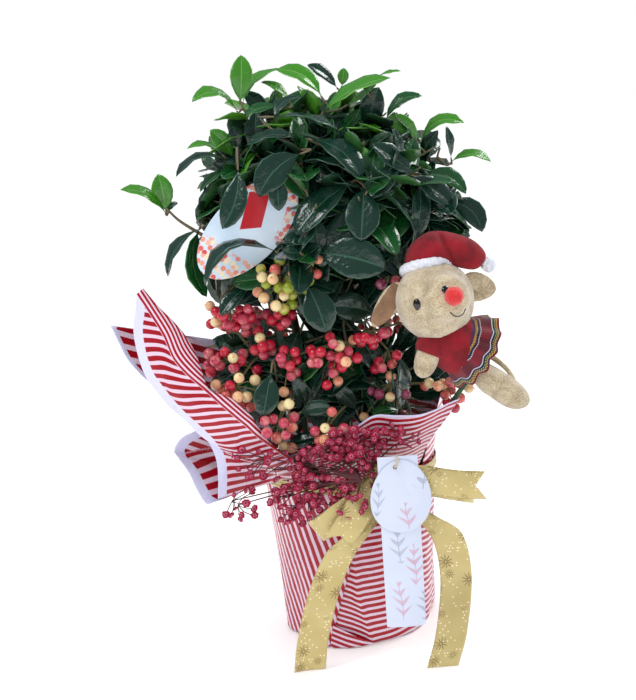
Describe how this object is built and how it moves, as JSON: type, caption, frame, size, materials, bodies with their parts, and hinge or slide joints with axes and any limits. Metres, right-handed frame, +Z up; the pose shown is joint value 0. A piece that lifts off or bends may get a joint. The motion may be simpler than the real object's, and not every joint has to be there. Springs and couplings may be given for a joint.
{
  "type": "potted coral ardisia",
  "caption": "Small evergreen berry shrub in a pot, dressed as a gift in striped paper with a ribbon bow, dried flowers, cards and a plush toy.",
  "frame": {"origin": "on the floor under the pot's axis, in the flat underside of the paper sleeve", "axes": "+Z up, front of the arrangement towards -Y, +X to the viewer's right"},
  "size_m": [0.3138, 0.2624, 0.4642],
  "materials": {
    "pot": "matte",
    "soil": "matte",
    "paper": "gloss",
    "ribbon": "satin",
    "card": "satin",
    "label": "satin",
    "twine": "matte",
    "dried": "matte",
    "plush": "matte",
    "pompom": "matte",
    "felt": "matte",
    "fleece": "matte",
    "tartan": "matte",
    "wood": "matte",
    "bark": "matte",
    "leaf": "gloss",
    "berry": "gloss",
    "berry_green": "gloss"
  },
  "bodies": {
    "root": {"pot": "pot", "soil": "soil", "wrap_sleeve": "paper", "wing_front_left": "paper", "pleat_left": "paper", "collar_back_left": "paper", "collar_back_right": "paper", "wing_front_right": "paper", "ribbon_band": "ribbon", "ribbon_knot": "ribbon", "ribbon_loop_left": "ribbon", "ribbon_loop_right": "ribbon", "ribbon_end_left": "ribbon", "ribbon_end_right": "ribbon", "ribbon_tail_left": "ribbon", "ribbon_tail_right": "ribbon", "gift_tag": "card", "long_card": "card", "plant_label": "label", "twine": "twine", "dried_flowers_left": "dried", "dried_flowers_right": "dried", "toy_head": "plush", "toy_nose": "pompom", "toy_hat": "felt", "toy_hat_trim": "fleece", "toy_hat_bobble": "fleece", "toy_dress": "felt", "toy_skirt": "tartan", "toy_arm_left": "plush", "toy_arm_right": "plush", "toy_leg_left": "plush", "toy_leg_right": "plush", "toy_tail": "plush", "toy_pick": "wood", "stem_left": "bark", "stem_right": "bark", "stem_back": "bark", "bough_left": "bark", "bough_front_left": "bark", "bough_right": "bark", "bough_front": "bark", "bough_back_left": "bark", "bough_back_right": "bark", "leaves_top_left": "leaf", "leaves_top_right": "leaf", "leaves_top_mid": "leaf", "leaves_left": "leaf", "leaves_front_low": "leaf", "leaves_right": "leaf", "leaves_front": "leaf", "leaves_back_left": "leaf", "leaves_back_right": "leaf", "leaves_inner": "leaf", "berries_front_top": "berry_green", "berries_front_left": "berry", "berries_front_mid": "berry", "berries_front_low": "berry", "berries_back_left": "berry", "berries_back_right": "berry"}
  },
  "joints": []
}
